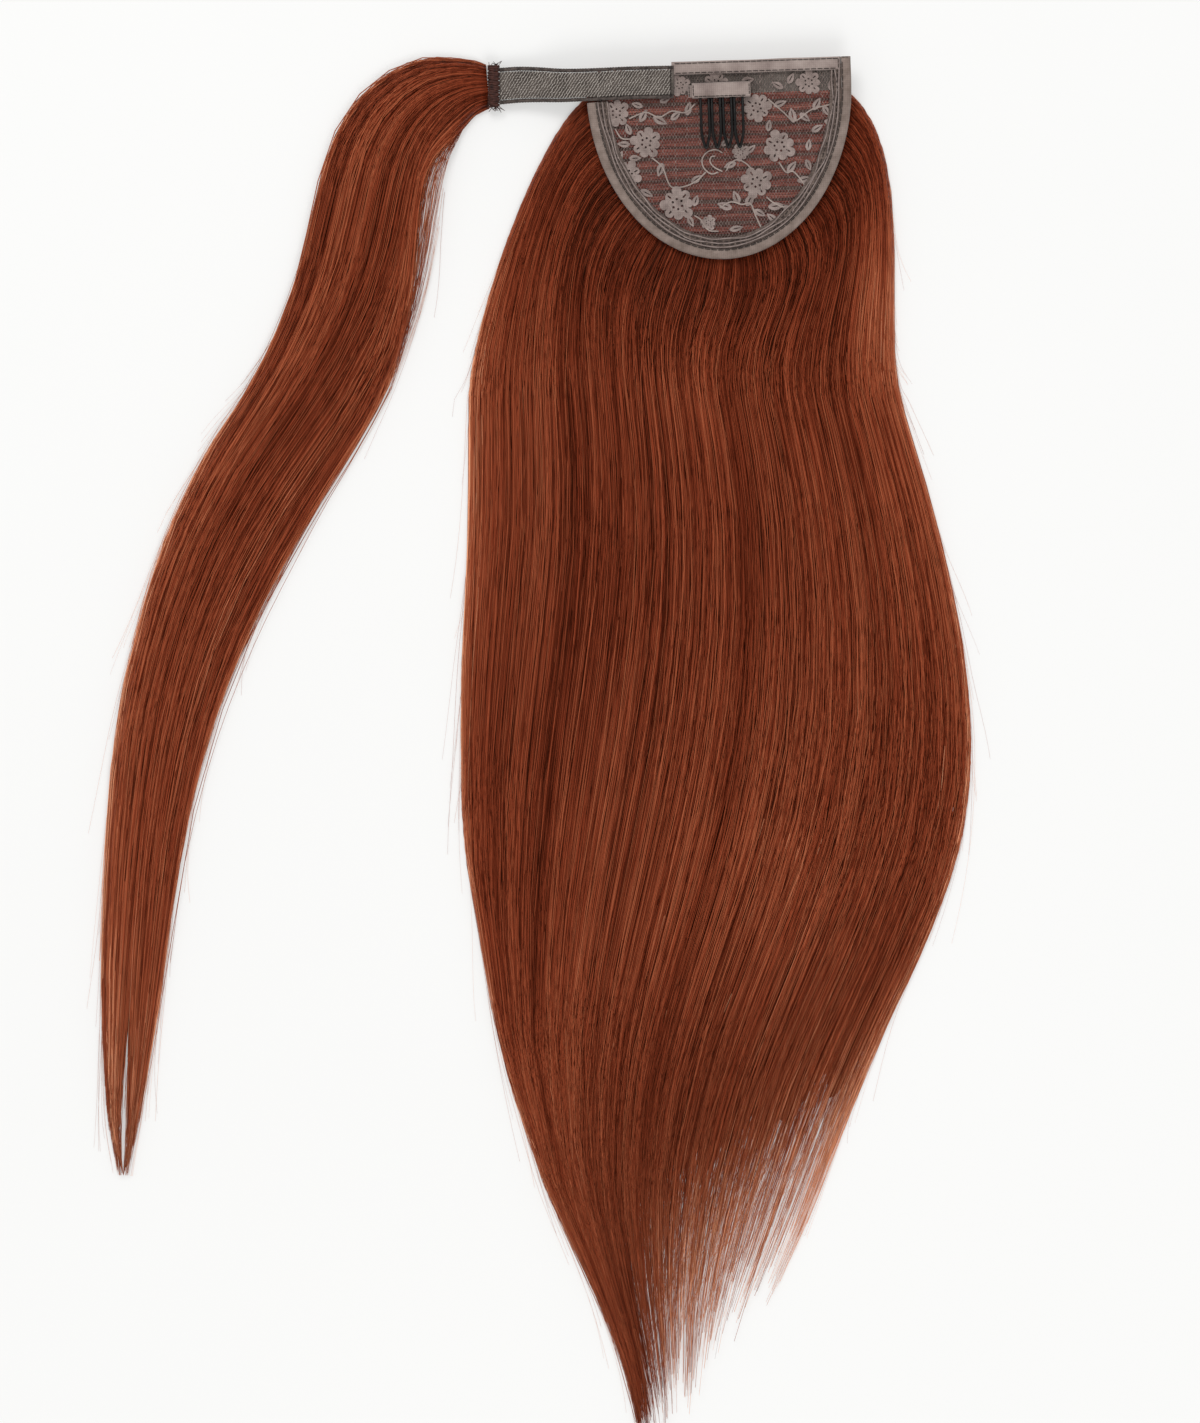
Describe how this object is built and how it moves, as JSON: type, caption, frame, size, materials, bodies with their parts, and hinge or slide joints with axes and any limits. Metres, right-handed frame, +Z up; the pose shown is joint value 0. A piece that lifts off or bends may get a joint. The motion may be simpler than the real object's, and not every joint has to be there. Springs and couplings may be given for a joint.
{
  "type": "ponytail hairpiece",
  "caption": "Clip-in ponytail hairpiece lying flat: long straight hair fans out from a lace cap with a wire comb, a hook-and-loop strap and a wrap lock.",
  "frame": {"origin": "middle of the whole footprint, on the surface that the hairpiece lies on", "axes": "+Y along the hair towards the cap's straight top edge, +X to the right seen from above, +Z up out of the surface"},
  "size_m": [0.3642, 0.5664, 0.0155],
  "materials": {
    "lace": "grey-brown floral net",
    "tape": "woven tape, matte",
    "webbing": "woven elastic, matte",
    "weft": "machine-sewn hair track",
    "wire": "black coated steel wire",
    "loop_cloth": "knitted loop pile",
    "edging": "overlocked thread",
    "hair": "straight auburn fibre, soft gloss"
  },
  "bodies": {
    "root": {"cap_lace": "lace", "edge_binding": "tape", "cap_seam": "lace", "top_band": "tape", "top_webbing": "webbing", "weft_row_01": "weft", "weft_row_02": "weft", "weft_row_03": "weft", "weft_row_04": "weft", "weft_row_05": "weft", "weft_row_06": "weft", "weft_row_07": "weft", "weft_row_08": "weft", "weft_row_09": "weft", "weft_row_10": "weft", "weft_row_11": "weft", "weft_row_12": "weft", "weft_row_13": "weft", "comb_sleeve": "tape", "comb": "wire", "strap": "loop_cloth", "strap_edging_upper": "edging", "strap_edging_lower": "edging", "wrap_weft_head": "weft", "wrap_hair": "hair", "tail_hair": "hair"}
  },
  "joints": []
}
